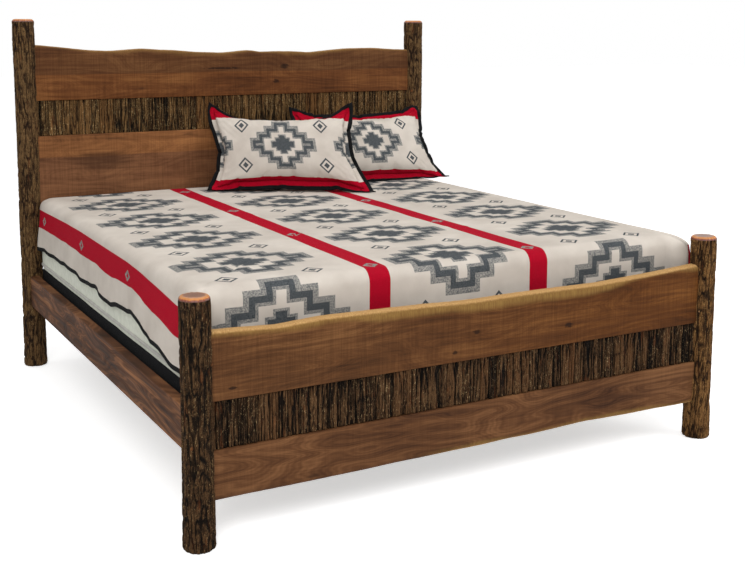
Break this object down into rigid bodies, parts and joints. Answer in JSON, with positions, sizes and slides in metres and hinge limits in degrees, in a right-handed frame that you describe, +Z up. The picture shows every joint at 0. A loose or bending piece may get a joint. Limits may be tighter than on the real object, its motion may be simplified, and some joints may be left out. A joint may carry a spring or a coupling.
{
  "type": "rustic log bed",
  "caption": "Rustic bed with bark-on log posts, live-edge headboard and footboard planks, bark bands and hook-on rails, made up with mattress, striped blanket and two leaning pillows.",
  "frame": {"origin": "on the floor, under the middle of the bed", "axes": "+Z up, +Y towards the headboard, +X to the right for a person who stands at the foot and looks at the headboard"},
  "size_m": [2.134, 2.262, 1.59],
  "materials": {
    "bark_log": "bark-on log, clear matt lacquer",
    "bark_slab": "furrowed bark, matt",
    "binding_cloth": "folded felt",
    "black_cloth": "close woven",
    "blanket_cloth": "woven wool blend, cream with crimson stripes and grey figures",
    "dust_cloth": "non-woven",
    "glide_plastic": "matt",
    "peg_wood": "turned hardwood",
    "plain_board": "sawn softwood",
    "screw_steel": "zinc plated",
    "sham_cloth": "woven wool blend, cream with crimson bands",
    "tape": "woven tape",
    "ticking": "woven ticking",
    "walnut": "satin oil with pale sapwood edges",
    "walnut_rail": "satin oil",
    "zinc_steel": "zinc plated"
  },
  "bodies": {
    "bed_frame": {"centre_leg_1": "plain_board", "centre_leg_2": "plain_board", "centre_leg_3": "plain_board", "cleat_screws": "screw_steel", "cross_slat_1": "plain_board", "cross_slat_2": "plain_board", "cross_slat_3": "plain_board", "cross_slat_4": "plain_board", "cross_slat_5": "plain_board", "foot_post_left": "bark_log", "foot_post_right": "bark_log", "footboard_bark_backer": "plain_board", "footboard_bark_slabs": "bark_slab", "footboard_lower_plank": "walnut", "footboard_top_plank": "walnut", "head_post_left": "bark_log", "head_post_right": "bark_log", "headboard_bark_backer": "plain_board", "headboard_bark_slabs": "bark_slab", "headboard_lower_plank": "walnut", "headboard_stretcher": "plain_board", "headboard_top_plank": "walnut", "hook_plate_foot_left": "zinc_steel", "hook_plate_foot_right": "zinc_steel", "hook_plate_head_left": "zinc_steel", "hook_plate_head_right": "zinc_steel", "hook_plate_screws": "screw_steel", "leg_glides": "glide_plastic", "plank_pegs": "peg_wood", "rail_cleat_left": "plain_board", "rail_cleat_right": "plain_board", "side_rail_left": "walnut_rail", "side_rail_right": "walnut_rail", "slat_screws": "screw_steel", "strike_plate_foot_left": "zinc_steel", "strike_plate_foot_right": "zinc_steel", "strike_plate_head_left": "zinc_steel", "strike_plate_head_right": "zinc_steel", "strike_plate_screws": "screw_steel"},
    "foundation": {"foundation_board_foot": "plain_board", "foundation_board_head": "plain_board", "foundation_board_left": "plain_board", "foundation_board_right": "plain_board", "foundation_cover": "black_cloth", "foundation_deck_boards": "plain_board", "foundation_dust_cover": "dust_cloth", "foundation_spine": "plain_board"},
    "mattress": {"blanket": "blanket_cloth", "blanket_binding": "binding_cloth", "mattress": "ticking", "mattress_tape_edge": "tape"},
    "front_pillow": {"front_pillow": "sham_cloth", "front_pillow_flange": "binding_cloth"},
    "back_pillow": {"back_pillow": "sham_cloth", "back_pillow_flange": "binding_cloth"}
  },
  "joints": [
    {"name": "foundation_lift", "type": "slide", "parent": "bed_frame", "child": "foundation", "axis": [0, 0, 1], "range_m": [0, 0.2]},
    {"name": "mattress_lift", "type": "slide", "parent": "foundation", "child": "mattress", "axis": [0, 0, 1], "range_m": [0, 0.4]},
    {"name": "back_pillow_lift", "type": "slide", "parent": "mattress", "child": "back_pillow", "axis": [0, 0, 1], "range_m": [0, 0.5]},
    {"name": "front_pillow_lift", "type": "slide", "parent": "back_pillow", "child": "front_pillow", "axis": [0, 0, 1], "range_m": [0, 0.5]}
  ]
}
